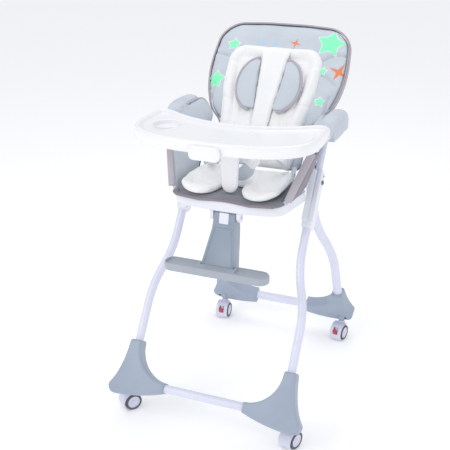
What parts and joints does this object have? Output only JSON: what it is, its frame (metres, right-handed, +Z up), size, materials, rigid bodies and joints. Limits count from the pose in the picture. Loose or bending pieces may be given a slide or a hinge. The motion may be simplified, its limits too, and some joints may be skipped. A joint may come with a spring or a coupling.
{
  "type": "baby high chair",
  "caption": "Folding high chair on swivel casters, with bent tube legs, a height-adjustable padded seat, a reclining backrest, a scooped tray, a footrest and a harness.",
  "frame": {"origin": "centre of the footprint, on the floor", "axes": "+Z up, front of the chair faces -Y, +X to the right seen from the front"},
  "size_m": [0.5655, 0.7246, 1.0244],
  "materials": {
    "frame_paint": "satin white powder coat with a faint violet cast",
    "foot_plastic": "fine satin",
    "plate_plastic": "fine satin",
    "pin_steel": "zinc plated",
    "screw_black": "black oxide",
    "button_plastic": "satin",
    "shell_plastic": "satin",
    "caster_plastic": "satin",
    "tyre": "matte",
    "brake_plastic": "satin",
    "tray_plastic": "gloss",
    "cover_grey": "soft coated fabric with a fine grain",
    "cover_mauve": "soft coated fabric with a fine grain",
    "seat_grey": "soft coated fabric with a fine grain",
    "insert_white": "soft padded cloth",
    "head_pad_grey": "soft padded cloth",
    "back_board": "stretched backing cloth over a board",
    "webbing": "woven strap",
    "buckle_plastic": "satin"
  },
  "bodies": {
    "front_frame": {"front_leg_left": "frame_paint", "front_leg_right": "frame_paint", "front_cross_tube": "frame_paint", "front_foot_left": "foot_plastic", "front_foot_right": "foot_plastic", "leg_housing_left": "shell_plastic", "leg_housing_right": "shell_plastic", "fold_pins": "pin_steel"},
    "rear_frame": {"rear_leg_left": "frame_paint", "rear_leg_right": "frame_paint", "rear_cross_tube": "frame_paint", "rear_foot_left": "foot_plastic", "rear_foot_right": "foot_plastic", "foot_screws": "screw_black"},
    "seat": {"seat_pan": "shell_plastic", "seat_rail_left": "frame_paint", "seat_rail_right": "frame_paint", "armrest_left": "shell_plastic", "armrest_right": "shell_plastic", "armrest_pad_left": "cover_grey", "armrest_pad_right": "cover_grey", "side_panel_left": "cover_mauve", "side_panel_right": "cover_mauve", "seat_cushion": "seat_grey", "seat_insert": "insert_white", "crotch_strap": "webbing", "waist_straps": "webbing", "harness_buckle": "buckle_plastic", "recline_pins": "pin_steel", "footrest_pin": "pin_steel"},
    "backrest": {"backrest_shell": "back_board", "backrest_cushion": "cover_grey", "back_insert": "insert_white", "head_pads": "head_pad_grey"},
    "recline_handle": {"recline_handle": "shell_plastic"},
    "tray": {"tray": "tray_plastic", "tray_rails": "tray_plastic", "crotch_post": "tray_plastic"},
    "tray_release": {"tray_release_lever": "tray_plastic"},
    "footrest": {"footrest_post": "foot_plastic", "footrest_plate": "plate_plastic"},
    "height_button_left": {"height_button_left": "button_plastic"},
    "height_button_right": {"height_button_right": "button_plastic"},
    "caster_fl": {"caster_hood_fl": "caster_plastic"},
    "wheels_fl": {"caster_wheels_fl": "caster_plastic", "caster_tyres_fl": "tyre"},
    "caster_fr": {"caster_hood_fr": "caster_plastic"},
    "wheels_fr": {"caster_wheels_fr": "caster_plastic", "caster_tyres_fr": "tyre"},
    "caster_rl": {"caster_hood_rl": "caster_plastic"},
    "wheels_rl": {"caster_wheels_rl": "caster_plastic", "caster_tyres_rl": "tyre"},
    "caster_rr": {"caster_hood_rr": "caster_plastic"},
    "wheels_rr": {"caster_wheels_rr": "caster_plastic", "caster_tyres_rr": "tyre"},
    "brake_rl": {"brake_pedal_rl": "brake_plastic"},
    "brake_rr": {"brake_pedal_rr": "brake_plastic"}
  },
  "joints": [
    {"name": "rear_frame_fold", "type": "hinge", "parent": "front_frame", "child": "rear_frame", "pos_m": [0, 0.07012, 0.677], "axis": [1, 0, 0], "range_deg": [-44, 0]},
    {"name": "seat_height", "type": "slide", "parent": "front_frame", "child": "seat", "axis": [0, -0.5736, -0.8192], "range_m": [0, 0.08]},
    {"name": "backrest_recline", "type": "hinge", "parent": "seat", "child": "backrest", "pos_m": [0, 0.0507, 0.646], "axis": [-1, 0, 0], "range_deg": [0, 20]},
    {"name": "recline_handle_pull", "type": "slide", "parent": "backrest", "child": "recline_handle", "axis": [0, 0.6198, 0.7848], "range_m": [0, 0.01], "stiffness_N_per_m": 300},
    {"name": "tray_slide", "type": "slide", "parent": "seat", "child": "tray", "axis": [0, -1, 0], "range_m": [0, 0.08]},
    {"name": "tray_release_pull", "type": "slide", "parent": "tray", "child": "tray_release", "axis": [0, -1, 0], "range_m": [0, 0.008], "stiffness_N_per_m": 400},
    {"name": "footrest_fold", "type": "hinge", "parent": "seat", "child": "footrest", "pos_m": [0, -0.1493, 0.588], "axis": [-1, 0, 0], "range_deg": [0, 60]},
    {"name": "height_button_left_press", "type": "slide", "parent": "front_frame", "child": "height_button_left", "axis": [1, 0, 0], "range_m": [0, 0.003], "stiffness_N_per_m": 400},
    {"name": "height_button_right_press", "type": "slide", "parent": "front_frame", "child": "height_button_right", "axis": [-1, 0, 0], "range_m": [0, 0.003], "stiffness_N_per_m": 400},
    {"name": "caster_swivel_fl", "type": "hinge", "parent": "front_frame", "child": "caster_fl", "pos_m": [-0.243, -0.2693, 0.06], "axis": [0, 0, 1], "continuous": true},
    {"name": "wheel_spin_fl", "type": "hinge", "parent": "caster_fl", "child": "wheels_fl", "pos_m": [-0.25162, -0.28033, 0.025], "axis": [0.788, -0.6157, 0], "continuous": true},
    {"name": "caster_swivel_fr", "type": "hinge", "parent": "front_frame", "child": "caster_fr", "pos_m": [0.243, -0.2693, 0.06], "axis": [0, 0, 1], "continuous": true},
    {"name": "wheel_spin_fr", "type": "hinge", "parent": "caster_fr", "child": "wheels_fr", "pos_m": [0.23821, -0.28246, 0.025], "axis": [0.9397, -0.342, 0], "continuous": true},
    {"name": "caster_swivel_rl", "type": "hinge", "parent": "rear_frame", "child": "caster_rl", "pos_m": [-0.21, 0.3277, 0.06], "axis": [0, 0, 1], "continuous": true},
    {"name": "wheel_spin_rl", "type": "hinge", "parent": "caster_rl", "child": "wheels_rl", "pos_m": [-0.20902, 0.31373, 0.025], "axis": [0.9976, 0.0698, 0], "continuous": true},
    {"name": "brake_rl", "type": "hinge", "parent": "caster_rl", "child": "brake_rl", "pos_m": [-0.20693, 0.28381, 0.036], "axis": [0.9976, 0.0698, 0], "range_deg": [0, 10]},
    {"name": "caster_swivel_rr", "type": "hinge", "parent": "rear_frame", "child": "caster_rr", "pos_m": [0.21, 0.3277, 0.06], "axis": [0, 0, 1], "continuous": true},
    {"name": "wheel_spin_rr", "type": "hinge", "parent": "caster_rr", "child": "wheels_rr", "pos_m": [0.20709, 0.31401, 0.025], "axis": [0.9781, -0.2079, 0], "continuous": true},
    {"name": "brake_rr", "type": "hinge", "parent": "caster_rr", "child": "brake_rr", "pos_m": [0.20085, 0.28466, 0.036], "axis": [0.9781, -0.2079, 0], "range_deg": [0, 10]}
  ]
}
